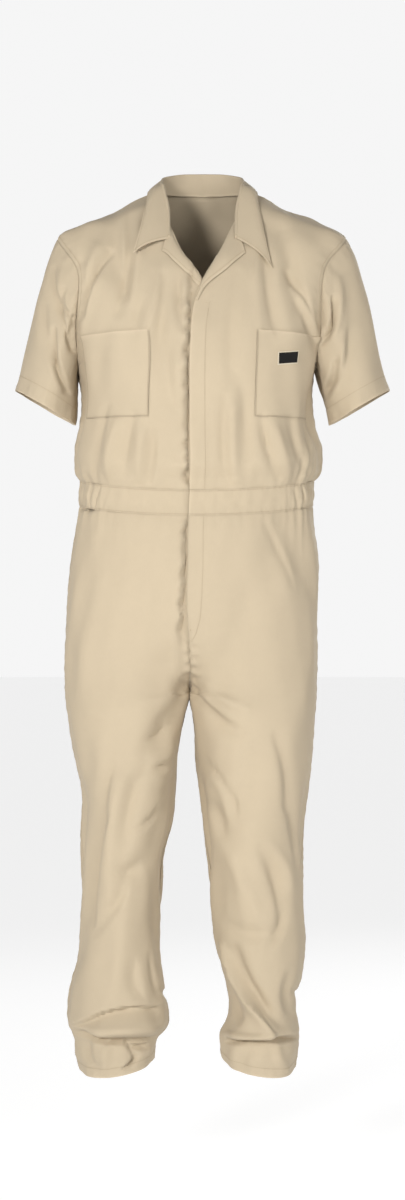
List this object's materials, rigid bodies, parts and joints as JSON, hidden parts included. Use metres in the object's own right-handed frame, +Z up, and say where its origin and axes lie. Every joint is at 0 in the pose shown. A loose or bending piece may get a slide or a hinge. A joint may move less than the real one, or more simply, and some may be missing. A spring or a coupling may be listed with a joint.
{
  "type": "boiler suit",
  "caption": "Khaki short-sleeved boiler suit, hanging as worn, with a notched collar, covered front closure, chest pockets and an elasticated waistband.",
  "frame": {"origin": "midway between the two points where the shoulder seams meet the neck", "axes": "+Z up, -Y towards the garment's front, +X towards the wearer's left"},
  "size_m": [0.6048, 0.2943, 1.4632],
  "materials": {
    "khaki_twill": "matte",
    "label_black": "matte"
  },
  "bodies": {
    "root": {"back": "khaki_twill", "collar": "khaki_twill", "elastic_waistband": "khaki_twill", "label": "label_black", "left_back_leg": "khaki_twill", "left_chest_pocket": "khaki_twill", "left_front": "khaki_twill", "left_front_leg": "khaki_twill", "left_lapel": "khaki_twill", "left_pocket_facing": "khaki_twill", "left_sleeve": "khaki_twill", "left_waistband": "khaki_twill", "right_back_leg": "khaki_twill", "right_chest_pocket": "khaki_twill", "right_front": "khaki_twill", "right_front_leg": "khaki_twill", "right_lapel": "khaki_twill", "right_pocket_facing": "khaki_twill", "right_sleeve": "khaki_twill", "right_waistband": "khaki_twill"}
  },
  "joints": []
}
